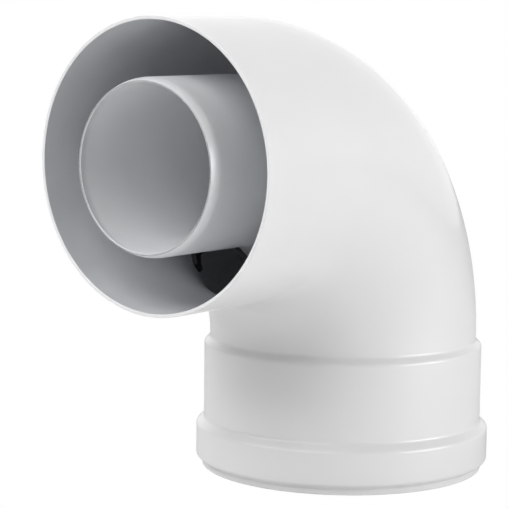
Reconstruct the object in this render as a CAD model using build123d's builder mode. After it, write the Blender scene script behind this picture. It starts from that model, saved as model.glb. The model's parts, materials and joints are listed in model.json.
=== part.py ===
from build123d import *
import os

# Concentric 60/100 flue elbow, 90 degrees: a painted air duct with a bare aluminium flue inside it.
# +Z is up. The origin is the centre of the outer socket's mouth, the socket's axis is Z, and the
# spigots point along -Y. The elbow is symmetric about the plane x = 0. Lengths are in millimetres
# and angles in degrees.

# ------------------------------------------------------------------ driving dimensions
# Centreline, shared by both tubes: a straight leg up from the socket, the bend, a straight spigot
leg_top = 50.0  # height at which the bend starts
bend_r = 68.5
bend_angle = 90.0
spigot_len = 41.5  # straight run of the outer spigot

# Outer air duct, nominal 100 mm
duct_r = 50.0  # outside
duct_wall = 1.2
duct_rim_round = 0.25  # edges of the spigot's mouth

# Inner flue, nominal 60 mm
flue_r = 30.0  # outside
flue_wall = 0.8
flue_rim_round = 0.35
flue_stand_out = 3.9  # the flue's spigot ends this far past the duct's
lead_in_len = 2.25  # turned-in end of the flue's spigot, from its corner to its mouth
lead_in_r = 28.9  # outside radius at its mouth
lead_in_bend = 9.0  # radius of the long curve that rounds its corner

# Outer socket, from its mouth upwards: lip, rolled seal bead, guiding wall, step to the duct.
# Radii are outside ones, and so are those of the formed corners, listed from the top down.
lip_r = 52.6
bead_r = 54.9
guide_r = 52.1
lip_top = 2.2
bead_foot = 3.8
bead_shoulder = 15.8
bead_top = 18.3
step_foot = 46.6
step_top = 48.8
socket_corners = (1.8, 1.8, 1.8, 1.8, 1.5, 0.8)
lip_round = 0.5  # outer edge of the lip

# Inner socket, the same shape, set back inside the outer one
flue_mouth = 6.0
flue_lip_r = 31.4
flue_bead_r = 34.0
flue_guide_r = 31.2
flue_lip_top = 9.6
flue_bead_foot = 11.2
flue_bead_shoulder = 19.8
flue_bead_top = 22.0
flue_step_foot = 46.4
flue_step_top = 48.2
flue_socket_corners = (1.4, 1.4, 1.4, 1.4, 1.2, 0.8)

# Seals, as they lie free: a base in the bead, and a lip that the pipe will push back
seal_bite = 0.7  # how far the free lip stands inside the pipe's surface
seal_base_gap = 1.2  # from the pipe's surface to the base
seal_rise = 5.2  # height of the lip's tip above the foot
seal_root = 3.0  # height of the lip where it leaves the base
seal_tip = 0.6  # thickness of the lip's tip
duct_seal_foot = 5.0
duct_seal_height = 9.6
flue_seal_foot = 12.1
flue_seal_height = 6.8

# Spacers: split rings with three feet, which follow the bend
spacer_band = 2.0  # thickness of the ring on the flue
spacer_arc = 6.6  # width, in degrees of bend
spacer_split = 6.0  # opening in the ring
spacer_arms = 3
spacer_arm = 2.4  # thickness of an arm
foot_len = 22.0
foot_thickness = 1.8
spacer_corner = 0.8  # moulded corner radius
socket_spacer_at = 3.0  # where each spacer starts, in degrees of bend from the socket's end
spigot_spacer_at = 42.0

# ------------------------------------------------------------------ derived
axis_height = leg_top + bend_r  # height of the spigots' axis
bend_axis = Axis((0, -bend_r, leg_top), (1, 0, 0))
spigot_axis = Axis((0, 0, axis_height), (0, 1, 0))
duct_bore_r = duct_r - duct_wall
flue_spigot_len = spigot_len + flue_stand_out

os.makedirs("parts", exist_ok=True)

with BuildLine(Plane.YZ) as bend_line:
    CenterArc((-bend_r, leg_top), bend_r, 0, bend_angle)
bend_path = bend_line.edge()

# Half-sections of the sockets lie in XZ. Those of the spigots lie in this plane, x across and y
# outwards along the spigot from the end of the bend.
spigot_half = Plane(origin=(0, -bend_r, axis_height), x_dir=(1, 0, 0), z_dir=(0, 0, -1))


def across_bend(at):
    """Plane square to the centreline; its y axis points away from the bend's axis."""
    share = at / bend_angle
    return Plane(origin=bend_path @ share, x_dir=(1, 0, 0), z_dir=bend_path % share)


def tube_section(plane, outside_r, wall):
    """Ring across a tube."""
    with BuildSketch(plane) as section:
        Circle(outside_r)
        Circle(outside_r - wall, mode=Mode.SUBTRACT)
    return section.sketch


def sheet_section(plane, outline, corners, wall):
    """Half-section of a formed wall. The outline is its outside, with the wall to the right of it."""
    points = [Vector(*point) for point in outline]
    ways = [(after - before).normalized() for before, after in zip(points, points[1:])]
    sides = [way.rotate(Axis.Z, -90) for way in ways]
    shifts = [sides[0]]
    inner_corners = []
    for before, after, corner in zip(sides, sides[1:], corners):
        shifts.append((before + after) / (1 + before.dot(after)))
        turns_left = before.cross(after).Z > 0
        inner_corners.append(corner + wall if turns_left else corner - wall)
    shifts.append(sides[-1])
    inner_outline = [point + shift * wall for point, shift in zip(points, shifts)]
    with BuildSketch(plane) as section:
        with BuildLine():
            outside = FilletPolyline(*outline, radius=corners)
            inside = FilletPolyline(*inner_outline, radius=inner_corners)
            Line(outside @ 0, inside @ 0)
            Line(outside @ 1, inside @ 1)
        make_face()
    return section.sketch


def seal_section(groove_r, foot, height, pipe_r):
    """Half-section of a lip seal: the base fills the bead, and the lip leans in and upwards."""
    base_r = pipe_r + seal_base_gap
    tip_r = pipe_r - seal_bite
    tip_z = foot + seal_rise
    with BuildSketch(Plane.XZ) as section:
        with BuildLine():
            Polyline(
                (groove_r, foot),
                (groove_r, foot + height),
                (base_r, foot + height),
                (base_r, foot + seal_root),
                (tip_r + seal_tip, tip_z),
                (tip_r, tip_z),
                (base_r, foot),
                close=True,
            )
        make_face()
    return section.sketch


def star_section(plane, first_arm):
    """Ring on the flue, opposite its first arm split, with arms out to feet on the duct's wall."""
    arm_mid_r = (flue_r + duct_bore_r) / 2
    arm_len = duct_bore_r - flue_r - foot_thickness
    with BuildSketch(plane) as section:
        with PolarLocations(duct_bore_r, spacer_arms, start_angle=first_arm):
            Rectangle(foot_len, foot_len)
        Circle(duct_bore_r, mode=Mode.INTERSECT)
        Circle(duct_bore_r - foot_thickness, mode=Mode.SUBTRACT)
        with PolarLocations(arm_mid_r, spacer_arms, start_angle=first_arm):
            Rectangle(arm_len, spacer_arm)
        Circle(flue_r + spacer_band)
        Circle(flue_r, mode=Mode.SUBTRACT)
        with PolarLocations(flue_r, 1, start_angle=first_arm + 180):
            Rectangle(4 * spacer_band, spacer_split, mode=Mode.SUBTRACT)
        fillet(section.vertices(), radius=spacer_corner)
    return section.sketch


# ------------------------------------------------------------------ outer elbow
# One tube: swaged socket with its bead and lip, bend, plain spigot
with BuildPart() as outer_elbow:
    revolve(
        sheet_section(
            Plane.XZ,
            [
                (duct_r, leg_top),
                (duct_r, step_top),
                (guide_r, step_foot),
                (guide_r, bead_top),
                (bead_r, bead_shoulder),
                (bead_r, bead_foot),
                (lip_r, lip_top),
                (lip_r, 0),
            ],
            socket_corners,
            duct_wall,
        ),
        axis=Axis.Z,
    )
    revolve(
        tube_section(across_bend(0), duct_r, duct_wall),
        axis=bend_axis,
        revolution_arc=bend_angle,
    )
    extrude(tube_section(across_bend(bend_angle), duct_r, duct_wall), amount=spigot_len)
    mouth_edges = outer_elbow.edges().filter_by(GeomType.CIRCLE).sort_by(Axis.Y)[:2]
    fillet(mouth_edges, radius=duct_rim_round)
    lip_edges = outer_elbow.edges().filter_by(GeomType.CIRCLE).group_by(Axis.Z)[0]
    fillet(lip_edges.sort_by(SortBy.RADIUS)[-1], radius=lip_round)
outer_elbow.part.label = "outer_elbow"
export_step(outer_elbow.part, "parts/outer_elbow.step")

# ------------------------------------------------------------------ inner elbow
# One tube on the same centreline, with its own socket, and a turned-in end on its spigot
with BuildPart() as inner_elbow:
    revolve(
        sheet_section(
            Plane.XZ,
            [
                (flue_r, leg_top),
                (flue_r, flue_step_top),
                (flue_guide_r, flue_step_foot),
                (flue_guide_r, flue_bead_top),
                (flue_bead_r, flue_bead_shoulder),
                (flue_bead_r, flue_bead_foot),
                (flue_lip_r, flue_lip_top),
                (flue_lip_r, flue_mouth),
            ],
            flue_socket_corners,
            flue_wall,
        ),
        axis=Axis.Z,
    )
    revolve(
        tube_section(across_bend(0), flue_r, flue_wall),
        axis=bend_axis,
        revolution_arc=bend_angle,
    )
    revolve(
        sheet_section(
            spigot_half,
            [
                (lead_in_r, flue_spigot_len),
                (flue_r, flue_spigot_len - lead_in_len),
                (flue_r, 0),
            ],
            [lead_in_bend],
            flue_wall,
        ),
        axis=spigot_axis,
    )
    mouth_edges = inner_elbow.edges().filter_by(GeomType.CIRCLE).sort_by(Axis.Y)[:2]
    fillet(mouth_edges, radius=flue_rim_round)
inner_elbow.part.label = "inner_elbow"
export_step(inner_elbow.part, "parts/inner_elbow.step")

# ------------------------------------------------------------------ seals
with BuildPart() as outer_seal:
    revolve(
        seal_section(bead_r - duct_wall, duct_seal_foot, duct_seal_height, duct_r),
        axis=Axis.Z,
    )
outer_seal.part.label = "outer_seal"
export_step(outer_seal.part, "parts/outer_seal.step")

with BuildPart() as inner_seal:
    revolve(
        seal_section(flue_bead_r - flue_wall, flue_seal_foot, flue_seal_height, flue_r),
        axis=Axis.Z,
    )
inner_seal.part.label = "inner_seal"
export_step(inner_seal.part, "parts/inner_seal.step")

# ------------------------------------------------------------------ spacers
with BuildPart() as socket_spacer:
    revolve(
        star_section(across_bend(socket_spacer_at), 90),
        axis=bend_axis,
        revolution_arc=spacer_arc,
    )
socket_spacer.part.label = "socket_spacer"
export_step(socket_spacer.part, "parts/socket_spacer.step")

with BuildPart() as spigot_spacer:
    revolve(
        star_section(across_bend(spigot_spacer_at), 90),
        axis=bend_axis,
        revolution_arc=spacer_arc,
    )
spigot_spacer.part.label = "spigot_spacer"
export_step(spigot_spacer.part, "parts/spigot_spacer.step")
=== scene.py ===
import json
import math

import bpy
from mathutils import Matrix, Vector


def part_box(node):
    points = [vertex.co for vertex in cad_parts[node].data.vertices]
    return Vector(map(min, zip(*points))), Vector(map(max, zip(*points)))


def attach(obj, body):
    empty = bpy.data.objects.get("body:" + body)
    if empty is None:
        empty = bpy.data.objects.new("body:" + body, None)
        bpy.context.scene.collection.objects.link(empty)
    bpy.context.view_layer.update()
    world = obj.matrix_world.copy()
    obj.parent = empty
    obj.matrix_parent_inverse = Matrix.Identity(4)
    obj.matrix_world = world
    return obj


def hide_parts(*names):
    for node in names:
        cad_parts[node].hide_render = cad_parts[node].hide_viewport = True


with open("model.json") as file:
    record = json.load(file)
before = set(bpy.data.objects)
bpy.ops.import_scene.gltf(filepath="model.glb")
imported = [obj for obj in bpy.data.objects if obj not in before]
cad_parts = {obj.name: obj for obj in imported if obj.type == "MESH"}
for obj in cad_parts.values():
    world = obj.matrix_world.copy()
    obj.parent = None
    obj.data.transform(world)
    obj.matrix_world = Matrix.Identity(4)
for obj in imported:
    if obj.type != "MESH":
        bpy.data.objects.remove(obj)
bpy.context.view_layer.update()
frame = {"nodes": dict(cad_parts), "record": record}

# Concentric 60/100 flue elbow: a glossy white air duct around a bare aluminium flue.
# Lengths are in metres. The socket's axis is Z and the spigots point along -Y, as in the frame.

MM = 0.001

# ------------------------------------------------------------------ sizes from the frame
mounts = {mount["name"]: mount for mount in frame["record"]["mounts"]}
DUCT_R = mounts["outer_spigot"]["dims"]["r_mm"] * MM
FLUE_R = mounts["inner_spigot"]["dims"]["r_mm"] * MM
AXIS_HEIGHT = mounts["outer_spigot"]["pos_m"][2]
DUCT_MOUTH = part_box("outer_elbow")[0].y
FLUE_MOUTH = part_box("inner_elbow")[0].y
FLUE_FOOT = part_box("inner_elbow")[0].z

# ------------------------------------------------------------------ formed shapes
LEG_TOP = 50.0 * MM  # height at which the bend starts
BEND_R = AXIS_HEIGHT - LEG_TOP

DUCT_WALL = 1.2 * MM
DUCT_RIM_ROUND = 0.25 * MM
DUCT_LIP_ROUND = 0.5 * MM
# Outside of the socket as (radius, height), from the bend down to the lip, and its corner radii
DUCT_SOCKET = [
    (DUCT_R, LEG_TOP),
    (DUCT_R, 48.8 * MM),
    (52.1 * MM, 46.6 * MM),
    (52.1 * MM, 18.3 * MM),
    (54.9 * MM, 15.8 * MM),
    (54.9 * MM, 3.8 * MM),
    (52.6 * MM, 2.2 * MM),
    (52.6 * MM, 0.0),
]
DUCT_CORNERS = [1.8 * MM, 1.8 * MM, 1.8 * MM, 1.8 * MM, 1.5 * MM, 0.8 * MM]

FLUE_WALL = 0.8 * MM
FLUE_RIM_ROUND = 0.35 * MM
LEAD_IN_LEN = 2.25 * MM
LEAD_IN_R = 28.9 * MM
LEAD_IN_BEND = 9.0 * MM
FLUE_SOCKET = [
    (FLUE_R, LEG_TOP),
    (FLUE_R, 48.2 * MM),
    (31.2 * MM, 46.4 * MM),
    (31.2 * MM, 22.0 * MM),
    (34.0 * MM, 19.8 * MM),
    (34.0 * MM, 11.2 * MM),
    (31.4 * MM, 9.6 * MM),
    (31.4 * MM, FLUE_FOOT),
]
FLUE_CORNERS = [1.4 * MM, 1.4 * MM, 1.4 * MM, 1.4 * MM, 1.2 * MM, 0.8 * MM]

EDGE_ROUND = 0.12 * MM  # the trimmed edges that the frame leaves sharp
LIP_RUN = 1.0 * MM  # straight run of the lips, where the edge's own outline takes over
BORE_FACING = -0.999  # the bore is where a mouth's outline faces its axis at least this squarely
EDGE_FACING = 0.6  # the cut edge is where the flue's end faces forward more than this

# ------------------------------------------------------------------ mesh fineness
AROUND = 240  # faces around a tube
RING_GAP = 2.5 * MM  # longest face along a straight run
CORNER_STEPS = 6
BEND_STEPS = 60


def turned(direction, angle):
    """A 2-D direction turned anticlockwise."""
    x, y = direction
    c, s = math.cos(angle), math.sin(angle)
    return (x * c - y * s, x * s + y * c)


def run(start, end, gap):
    """Points from start to end, no further apart than gap, each with the run's left-hand normal."""
    dx, dy = end[0] - start[0], end[1] - start[1]
    length = math.hypot(dx, dy)
    normal = (-dy / length, dx / length)
    steps = max(1, math.ceil(length / gap))
    return [
        (start[0] + dx * i / steps, start[1] + dy * i / steps, *normal)
        for i in range(steps + 1)
    ]


def rounded(points, radii, gap=RING_GAP):
    """An open outline with rounded corners.

    Each point is (radius, height, radial part of its normal, axial part of its normal).
    """
    out = []
    start = points[0]
    for corner, radius, after in zip(points[1:-1], radii, points[2:]):
        in_x, in_y = corner[0] - start[0], corner[1] - start[1]
        out_x, out_y = after[0] - corner[0], after[1] - corner[1]
        in_len, out_len = math.hypot(in_x, in_y), math.hypot(out_x, out_y)
        way = (in_x / in_len, in_y / in_len)
        turn = math.atan2(in_x * out_y - in_y * out_x, in_x * out_x + in_y * out_y)
        cut = radius * math.tan(abs(turn) / 2)
        foot = (corner[0] - way[0] * cut, corner[1] - way[1] * cut)
        out += run(start, foot, gap)
        side = math.copysign(radius, turn)
        normal = turned(way, math.pi / 2)
        centre = (foot[0] + normal[0] * side, foot[1] + normal[1] * side)
        for i in range(1, CORNER_STEPS):
            now = turned(normal, turn * i / CORNER_STEPS)
            out.append((centre[0] - now[0] * side, centre[1] - now[1] * side, *now))
        last = turned(normal, turn)
        start = (centre[0] - last[0] * side, centre[1] - last[1] * side)
    return out + run(start, points[-1], gap)


def inside_of(outline, wall):
    """The other side of a sheet whose outside is given, from its far end back to its start."""
    return [
        (r - nr * wall, h - nh * wall, -nr, -nh) for r, h, nr, nh in reversed(outline)
    ]


def leg_rings(outline):
    """Rings around the socket's axis."""
    return [((0, 0, h), (0, 1, 0), (0, 0, 1), r, nr, nh) for r, h, nr, nh in outline]


def spigot_rings(outline):
    """Rings around the spigots' axis, where heights count outwards from the end of the bend."""
    return [
        ((0, -BEND_R - h, AXIS_HEIGHT), (0, 0, 1), (0, -1, 0), r, nr, nh)
        for r, h, nr, nh in outline
    ]


def bend_rings(radius, outward, up):
    """Rings round the bend, without its two end rings. Outward is 1 outside the tube and -1 inside it."""
    steps = range(1, BEND_STEPS) if up else range(BEND_STEPS - 1, 0, -1)
    out = []
    for i in steps:
        a = math.pi / 2 * i / BEND_STEPS
        c, s = math.cos(a), math.sin(a)
        centre = (0, -BEND_R + BEND_R * c, LEG_TOP + BEND_R * s)
        out.append((centre, (0, c, s), (0, -s, c), radius, outward, 0.0))
    return out


def tube(name, sections, nominal_r, materials):
    """A closed tube wall. Each section is (rings, material index) and runs on from the one before.

    The point attribute "run" is the place on the wall unrolled around a tube of nominal radius:
    x and y go round, and z is the length along the wall.
    """
    rings = []
    stripe = []
    for section, material in sections:
        rings += section
        stripe += [material] * len(section)
    verts, normals, runs = [], [], []
    travelled = 0.0
    before = None
    for centre, side, axis, r, nr, nh in rings:
        c, e, a = Vector(centre), Vector(side), Vector(axis)
        here = c + e * r
        if before is not None:
            travelled += (here - before).length
        before = here
        for j in range(AROUND):
            t = 2 * math.pi * j / AROUND
            radial = Vector((math.cos(t), 0, 0)) + e * math.sin(t)
            verts.append(c + radial * r)
            normals.append((radial * nr + a * nh).normalized())
            runs.append((nominal_r * math.cos(t), nominal_r * math.sin(t), travelled))
    faces, picks = [], []
    count = len(rings)
    for i in range(count):
        k = (i + 1) % count
        for j in range(AROUND):
            n = (j + 1) % AROUND
            faces.append((i * AROUND + j, k * AROUND + j, k * AROUND + n, i * AROUND + n))
            picks.append(stripe[i])
    mesh = bpy.data.meshes.new(name)
    mesh.from_pydata(verts, [], faces)
    for material in materials:
        mesh.materials.append(material)
    mesh.polygons.foreach_set("material_index", picks)
    mesh.polygons.foreach_set("use_smooth", [True] * len(faces))
    attribute = mesh.attributes.new("run", "FLOAT_VECTOR", "POINT")
    attribute.data.foreach_set("vector", [value for point in runs for value in point])
    mesh.validate()
    mesh.normals_split_custom_set_from_vertices(normals)
    piece = bpy.data.objects.new(name, mesh)
    bpy.context.scene.collection.objects.link(piece)
    return piece


# ------------------------------------------------------------------ materials
NOISE_LOW = 0.3  # a noise's values lie mostly between these two
NOISE_HIGH = 0.7
METALLIC = 0.3  # low, so that the tubes keep their satin grey and don't only mirror each other


def new_material(name):
    """An empty node material: its nodes, its links, and its Principled shader."""
    material = bpy.data.materials.new(name)
    material.use_nodes = True
    nodes = material.node_tree.nodes
    shader = nodes["Principled BSDF"]
    return material, nodes, material.node_tree.links, shader


def noise(nodes, links, vector, scale, detail=4.0, roughness=0.5, stretch=(1, 1, 1)):
    """Noise over a vector, stretched by a factor for each axis."""
    mapping = nodes.new("ShaderNodeMapping")
    mapping.inputs["Scale"].default_value = stretch
    links.new(vector, mapping.inputs["Vector"])
    texture = nodes.new("ShaderNodeTexNoise")
    texture.inputs["Scale"].default_value = scale
    texture.inputs["Detail"].default_value = detail
    texture.inputs["Roughness"].default_value = roughness
    links.new(mapping.outputs["Vector"], texture.inputs["Vector"])
    return texture.outputs["Fac"]


def spread(nodes, links, value, to_low, to_high, low=NOISE_LOW, high=NOISE_HIGH):
    """The value's range from low to high, mapped on to another range and held there."""
    node = nodes.new("ShaderNodeMapRange")
    node.inputs["From Min"].default_value = low
    node.inputs["From Max"].default_value = high
    node.inputs["To Min"].default_value = to_low
    node.inputs["To Max"].default_value = to_high
    links.new(value, node.inputs["Value"])
    return node.outputs["Result"]


def tint(nodes, links, shader, value, dark, light, low=NOISE_LOW, high=NOISE_HIGH):
    """A noise swings the base colour between two."""
    node = nodes.new("ShaderNodeMix")
    node.data_type = "RGBA"
    node.inputs["A"].default_value = (*dark, 1)
    node.inputs["B"].default_value = (*light, 1)
    links.new(spread(nodes, links, value, 0.0, 1.0, low, high), node.inputs["Factor"])
    links.new(node.outputs["Result"], shader.inputs["Base Color"])


def dull(nodes, links, shader, value, least, most):
    """A noise swings the roughness between two values."""
    links.new(spread(nodes, links, value, least, most), shader.inputs["Roughness"])


def bump(nodes, links, height, distance, strength, before=None):
    """A bumped normal, on top of one from before if there is one."""
    node = nodes.new("ShaderNodeBump")
    node.inputs["Distance"].default_value = distance
    node.inputs["Strength"].default_value = strength
    links.new(height, node.inputs["Height"])
    if before is not None:
        links.new(before, node.inputs["Normal"])
    return node.outputs["Normal"]


def object_place(nodes):
    """Where a point is on the object, in metres."""
    return nodes.new("ShaderNodeTexCoord").outputs["Object"]


def tube_run(nodes):
    """Where a point is on a tube's unrolled wall, in metres."""
    node = nodes.new("ShaderNodeAttribute")
    node.attribute_name = "run"
    return node.outputs["Vector"]


def white_paint():
    """Stoved gloss paint: faint orange peel, a little unevenness in gloss, and dust specks."""
    material, nodes, links, shader = new_material("gloss_white_paint")
    place = object_place(nodes)
    cloud = noise(nodes, links, place, scale=18, detail=3)
    tint(nodes, links, shader, cloud, dark=(0.800, 0.800, 0.806), light=(0.826, 0.826, 0.830))
    gloss = noise(nodes, links, place, scale=60, detail=5)
    dull(nodes, links, shader, gloss, least=0.30, most=0.38)
    peel = noise(nodes, links, place, scale=520, detail=2, roughness=0.4)
    speck = noise(nodes, links, place, scale=2600, detail=1)
    # Only the peaks of this noise are specks
    dust = spread(nodes, links, speck, 0.0, 1.0, low=0.72, high=0.8)
    peeled = bump(nodes, links, peel, distance=0.04 * MM, strength=0.12)
    dusty = bump(nodes, links, dust, distance=0.04 * MM, strength=0.2, before=peeled)
    links.new(dusty, shader.inputs["Normal"])
    shader.inputs["Coat Weight"].default_value = 0.5
    shader.inputs["Coat Roughness"].default_value = 0.08
    shader.inputs["IOR"].default_value = 1.5
    return material


def bare_sheet():
    """Inside of the duct: unpainted grey sheet, drawn lines along it and mottled dull patches."""
    material, nodes, links, shader = new_material("bare_grey_sheet")
    mottle = noise(nodes, links, object_place(nodes), scale=70, detail=5, roughness=0.6)
    tint(nodes, links, shader, mottle, dark=(0.690, 0.705, 0.725), light=(0.735, 0.745, 0.760))
    dull(nodes, links, shader, mottle, least=0.42, most=0.52)
    lines = noise(nodes, links, tube_run(nodes), scale=900, detail=3, stretch=(1, 1, 0.03))
    drawn = bump(nodes, links, lines, distance=0.03 * MM, strength=0.25)
    links.new(drawn, shader.inputs["Normal"])
    shader.inputs["Metallic"].default_value = METALLIC
    return material


def satin_aluminium():
    """The flue: drawn aluminium, with fine lines along the tube and soft cloudiness."""
    material, nodes, links, shader = new_material("satin_aluminium")
    cloud = noise(nodes, links, object_place(nodes), scale=35, detail=5, roughness=0.55)
    tint(nodes, links, shader, cloud, dark=(0.855, 0.865, 0.880), light=(0.895, 0.900, 0.910))
    dull(nodes, links, shader, cloud, least=0.34, most=0.44)
    lines = noise(nodes, links, tube_run(nodes), scale=1100, detail=3, stretch=(1, 1, 0.02))
    drawn = bump(nodes, links, lines, distance=0.03 * MM, strength=0.2)
    links.new(drawn, shader.inputs["Normal"])
    shader.inputs["Metallic"].default_value = METALLIC
    return material


def sawn_edge_painted_shade():
    """The cut end of the flue: duller and rougher than its drawn surface, with fine saw marks, and a dark
    tone that is painted shade.
    """
    material, nodes, links, shader = new_material("sawn_aluminium_edge_painted_shade")
    marks = noise(nodes, links, object_place(nodes), scale=1500, detail=2)
    # Painted shade: the edge's base colour is set far darker than the flue's, and the saw marks vary it
    tint(nodes, links, shader, marks, dark=(0.40, 0.41, 0.42), light=(0.50, 0.51, 0.52))
    dull(nodes, links, shader, marks, least=0.45, most=0.6)
    sawn = bump(nodes, links, marks, distance=0.03 * MM, strength=0.3)
    links.new(sawn, shader.inputs["Normal"])
    shader.inputs["Metallic"].default_value = METALLIC
    return material


def seal_rubber():
    """Black EPDM: fine grain and a faint bloom."""
    material, nodes, links, shader = new_material("black_seal_rubber")
    place = object_place(nodes)
    bloom = noise(nodes, links, place, scale=120, detail=5)
    black, bloomed = (0.018, 0.018, 0.019), (0.045, 0.045, 0.047)
    tint(nodes, links, shader, bloom, black, bloomed, low=0.35, high=0.75)
    dull(nodes, links, shader, bloom, least=0.45, most=0.62)
    grain = noise(nodes, links, place, scale=2200, detail=3)
    grained = bump(nodes, links, grain, distance=0.05 * MM, strength=0.35)
    links.new(grained, shader.inputs["Normal"])
    return material


def spacer_plastic():
    """Moulded dark plastic: fine spark texture, with slight flow marks in its gloss."""
    material, nodes, links, shader = new_material("moulded_dark_plastic")
    place = object_place(nodes)
    flow = noise(nodes, links, place, scale=90, detail=4, stretch=(1, 1, 0.3))
    tint(nodes, links, shader, flow, dark=(0.030, 0.030, 0.032), light=(0.042, 0.042, 0.044))
    dull(nodes, links, shader, flow, least=0.38, most=0.5)
    spark = noise(nodes, links, place, scale=1600, detail=2)
    sparked = bump(nodes, links, spark, distance=0.05 * MM, strength=0.3)
    links.new(sparked, shader.inputs["Normal"])
    return material


PAINT = white_paint()
SHEET = bare_sheet()
ALUMINIUM = satin_aluminium()
FLUE_EDGE_PAINTED_SHADE = sawn_edge_painted_shade()
RUBBER = seal_rubber()
PLASTIC = spacer_plastic()

# ------------------------------------------------------------------ outer elbow
duct_bore = DUCT_R - DUCT_WALL
duct_end = -BEND_R - DUCT_MOUTH
lip_r = DUCT_SOCKET[-1][0]
outside = rounded(DUCT_SOCKET[:-1] + [(lip_r, LIP_RUN)], DUCT_CORNERS)
lip = rounded(
    [(lip_r, LIP_RUN), (lip_r, 0.0), (lip_r - DUCT_WALL, 0.0), (lip_r - DUCT_WALL, LIP_RUN)],
    [DUCT_LIP_ROUND, EDGE_ROUND],
)
mouth = rounded(
    [(duct_bore, 0.0), (duct_bore, duct_end), (DUCT_R, duct_end), (DUCT_R, 0.0)],
    [DUCT_RIM_ROUND, DUCT_RIM_ROUND],
)
bore_rings = [point for point in mouth if point[2] < BORE_FACING]
rim_rings = [point for point in mouth if point[2] >= BORE_FACING]
outer = tube(
    "outer_elbow_skin",
    [
        (spigot_rings(rim_rings), 0),
        (bend_rings(DUCT_R, 1, up=False), 0),
        (leg_rings(outside), 0),
        (leg_rings(lip[1:-1]), 0),
        (leg_rings(inside_of(outside, DUCT_WALL)), 1),
        (bend_rings(duct_bore, -1, up=True), 1),
        (spigot_rings(bore_rings), 1),
    ],
    DUCT_R,
    [PAINT, SHEET],
)
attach(outer, "root")
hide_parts("outer_elbow")

# ------------------------------------------------------------------ inner elbow
flue_bore = FLUE_R - FLUE_WALL
flue_end = -BEND_R - FLUE_MOUTH
flue_lip_r = FLUE_SOCKET[-1][0]
flue_lip_top = FLUE_FOOT + LIP_RUN
flue_outside = rounded(FLUE_SOCKET[:-1] + [(flue_lip_r, flue_lip_top)], FLUE_CORNERS)
flue_lip = rounded(
    [
        (flue_lip_r, flue_lip_top),
        (flue_lip_r, FLUE_FOOT),
        (flue_lip_r - FLUE_WALL, FLUE_FOOT),
        (flue_lip_r - FLUE_WALL, flue_lip_top),
    ],
    [EDGE_ROUND, EDGE_ROUND],
)
taper = math.atan2(FLUE_R - LEAD_IN_R, LEAD_IN_LEN)
# The round on the rim takes a little off the length of the sheet
sheet_end = flue_end + FLUE_RIM_ROUND * (math.sin(taper) + math.cos(taper) - 1)
taper_foot = sheet_end - LEAD_IN_LEN
flue_mouth = rounded(
    [
        (flue_bore, 0.0),
        (flue_bore, taper_foot - FLUE_WALL * math.tan(taper / 2)),
        (LEAD_IN_R - FLUE_WALL * math.cos(taper), sheet_end - FLUE_WALL * math.sin(taper)),
        (LEAD_IN_R, sheet_end),
        (FLUE_R, taper_foot),
        (FLUE_R, 0.0),
    ],
    [LEAD_IN_BEND - FLUE_WALL, FLUE_RIM_ROUND, FLUE_RIM_ROUND, LEAD_IN_BEND],
)
# The forward-facing cut edge takes the darker edge material, whose dark tone is painted shade
edge = [i for i, point in enumerate(flue_mouth) if point[3] > EDGE_FACING]
edge_start, edge_end = edge[0], edge[-1]
inner = tube(
    "inner_elbow_skin",
    [
        (spigot_rings(flue_mouth[:edge_start]), 0),
        (spigot_rings(flue_mouth[edge_start:edge_end]), 1),
        (spigot_rings(flue_mouth[edge_end:]), 0),
        (bend_rings(FLUE_R, 1, up=False), 0),
        (leg_rings(flue_outside), 0),
        (leg_rings(flue_lip[1:-1]), 0),
        (leg_rings(inside_of(flue_outside, FLUE_WALL)), 0),
        (bend_rings(flue_bore, -1, up=True), 0),
    ],
    FLUE_R,
    [ALUMINIUM, FLUE_EDGE_PAINTED_SHADE],
)
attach(inner, "root")
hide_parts("inner_elbow")

# ------------------------------------------------------------------ carried-over nodes
for node, material in (
    ("outer_seal", RUBBER),
    ("inner_seal", RUBBER),
    ("socket_spacer", PLASTIC),
    ("spigot_spacer", PLASTIC),
):
    mesh = frame["nodes"][node].data
    mesh.materials.clear()
    mesh.materials.append(material)

# ------------------------------------------------------------------ stage
FLOOR_SIZE = 12.0
FLOOR_DROP = 0.2 * MM  # keeps the floor clear of the socket's rim
WHITE = (1, 1, 1, 1)
floor_mesh = bpy.data.meshes.new("floor")
half = FLOOR_SIZE / 2
floor_mesh.from_pydata(
    [(-half, -half, 0), (half, -half, 0), (half, half, 0), (-half, half, 0)], [], [(0, 1, 2, 3)]
)
floor = bpy.data.objects.new("floor", floor_mesh)
floor.location.z = -FLOOR_DROP
bpy.context.scene.collection.objects.link(floor)
floor_material, floor_nodes, floor_links, floor_shader = new_material("pale_floor")
floor_shader.inputs["Base Color"].default_value = (0.78, 0.78, 0.78, 1)
floor_shader.inputs["Roughness"].default_value = 0.9
# The camera sees it as plain white, and the light bounces off it as off a pale grey
floor_glow = floor_nodes.new("ShaderNodeEmission")
floor_glow.inputs["Color"].default_value = WHITE
floor_seen = floor_nodes.new("ShaderNodeLightPath")
floor_mix = floor_nodes.new("ShaderNodeMixShader")
floor_links.new(floor_seen.outputs["Is Camera Ray"], floor_mix.inputs["Fac"])
floor_links.new(floor_shader.outputs["BSDF"], floor_mix.inputs[1])
floor_links.new(floor_glow.outputs["Emission"], floor_mix.inputs[2])
floor_links.new(floor_mix.outputs["Shader"], floor_nodes["Material Output"].inputs["Surface"])
floor_mesh.materials.append(floor_material)

# ------------------------------------------------------------------ light
AIM = Vector((0, -0.03, 0.08))  # middle of the object
BOX_DISTANCE = 1.6


def way_to(azimuth, elevation):
    """The direction out from the object. Azimuth 0 is in front of the spigots, and 90 is +X."""
    a, e = math.radians(azimuth), math.radians(elevation)
    return Vector((math.sin(a) * math.cos(e), -math.cos(a) * math.cos(e), math.sin(e)))


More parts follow.
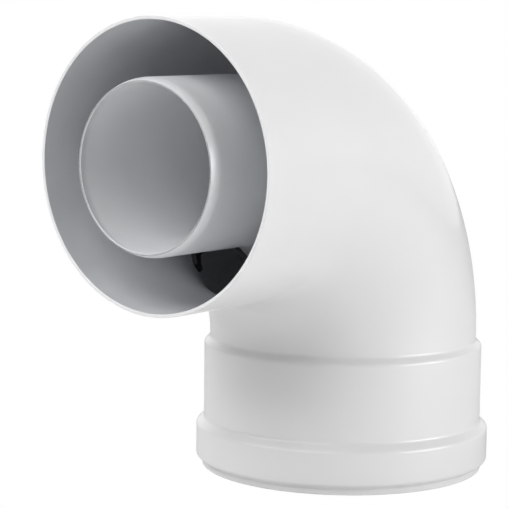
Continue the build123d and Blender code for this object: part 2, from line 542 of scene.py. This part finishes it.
# The sky is a wide soft lobe of light around each way: (name, azimuth, elevation, strength)
SKY = [
    ("right", 130, 0, 0.69),
    ("far", 220, 0, 1.22),
]
world = bpy.data.worlds.new("studio")
bpy.context.scene.world = world
world.use_nodes = True
room = world.node_tree.nodes
room_links = world.node_tree.links


def room_math(operation, first, *others):
    """A maths node fed by a socket, with its other inputs numbers or sockets."""
    node = room.new("ShaderNodeMath")
    node.operation = operation
    room_links.new(first, node.inputs[0])
    for socket, value in zip(node.inputs[1:], others):
        if isinstance(value, bpy.types.NodeSocket):
            room_links.new(value, socket)
        else:
            socket.default_value = value
    return node


heading = room.new("ShaderNodeTexCoord").outputs["Generated"]
glow = 0.0
for name, azimuth, elevation, strength in SKY:
    facing = room.new("ShaderNodeVectorMath")
    facing.operation = "DOT_PRODUCT"
    facing.inputs[1].default_value = way_to(azimuth, elevation)
    room_links.new(heading, facing.inputs[0])
    towards = room_math("MAXIMUM", facing.outputs["Value"], 0.0)
    lobe = room_math("MULTIPLY", towards.outputs["Value"], towards.outputs["Value"])
    share = room_math("MULTIPLY_ADD", lobe.outputs["Value"], strength, glow)
    share.name = name
    glow = share.outputs["Value"]

lighting = room["Background"]
lighting.inputs["Color"].default_value = WHITE
room_links.new(glow, lighting.inputs["Strength"])
# The camera sees plain white behind the object
backdrop = room.new("ShaderNodeBackground")
backdrop.name = "backdrop"
backdrop.inputs["Color"].default_value = WHITE
chooser = room.new("ShaderNodeMixShader")
seen = room.new("ShaderNodeLightPath")
room_links.new(seen.outputs["Is Camera Ray"], chooser.inputs["Fac"])
room_links.new(lighting.outputs["Background"], chooser.inputs[1])
room_links.new(backdrop.outputs["Background"], chooser.inputs[2])
room_links.new(chooser.outputs["Shader"], room["World Output"].inputs["Surface"])


def softbox(name, azimuth, elevation, width, height, watts):
    """A rectangular area light facing the object, out of the camera's sight."""
    way = way_to(azimuth, elevation)
    lamp = bpy.data.lights.new(name, "AREA")
    lamp.shape = "RECTANGLE"
    lamp.size = width
    lamp.size_y = height
    lamp.energy = watts
    box = bpy.data.objects.new(name, lamp)
    box.location = AIM + way * BOX_DISTANCE
    box.rotation_euler = way.to_track_quat("Z", "Y").to_euler()
    box.visible_camera = False
    bpy.context.scene.collection.objects.link(box)


softbox("front_high", azimuth=0, elevation=45, width=1.4, height=1.0, watts=17.0)
softbox("left_high", azimuth=-40, elevation=45, width=1.2, height=1.2, watts=9.4)
softbox("right_low", azimuth=105, elevation=8, width=1.2, height=0.6, watts=12.7)

# ------------------------------------------------------------------ camera
AZIMUTH = math.radians(38.341)
ELEVATION = math.radians(7.228)
ROLL = math.radians(0.657)
DISTANCE = 755.094 * MM
AIM_HEIGHT = 79.631 * MM
AIM_SIDE = -33.789 * MM
LENS = 142.62  # mm
SENSOR = 36  # mm

back = Vector(
    (
        math.sin(AZIMUTH) * math.cos(ELEVATION),
        -math.cos(AZIMUTH) * math.cos(ELEVATION),
        math.sin(ELEVATION),
    )
)
level = Vector((math.cos(AZIMUTH), math.sin(AZIMUTH), 0))
upward = back.cross(level)
right = level * math.cos(ROLL) + upward * math.sin(ROLL)
above = upward * math.cos(ROLL) - level * math.sin(ROLL)
place = Vector((0, 0, AIM_HEIGHT)) + right * AIM_SIDE + back * DISTANCE
camera_data = bpy.data.cameras.new("camera")
camera_data.sensor_width = SENSOR
camera_data.lens = LENS
camera_data.clip_start = 0.05
camera = bpy.data.objects.new("camera", camera_data)
turn = Matrix((right, above, back)).transposed()
camera.matrix_world = Matrix.Translation(place) @ turn.to_4x4()
bpy.context.scene.collection.objects.link(camera)
bpy.context.scene.camera = camera

bpy.context.scene.view_settings.view_transform = "Standard"
# Light has to find its way out of two deep bright tubes
BOUNCES = 8
bpy.context.scene.cycles.diffuse_bounces = BOUNCES
bpy.context.scene.cycles.glossy_bounces = BOUNCES
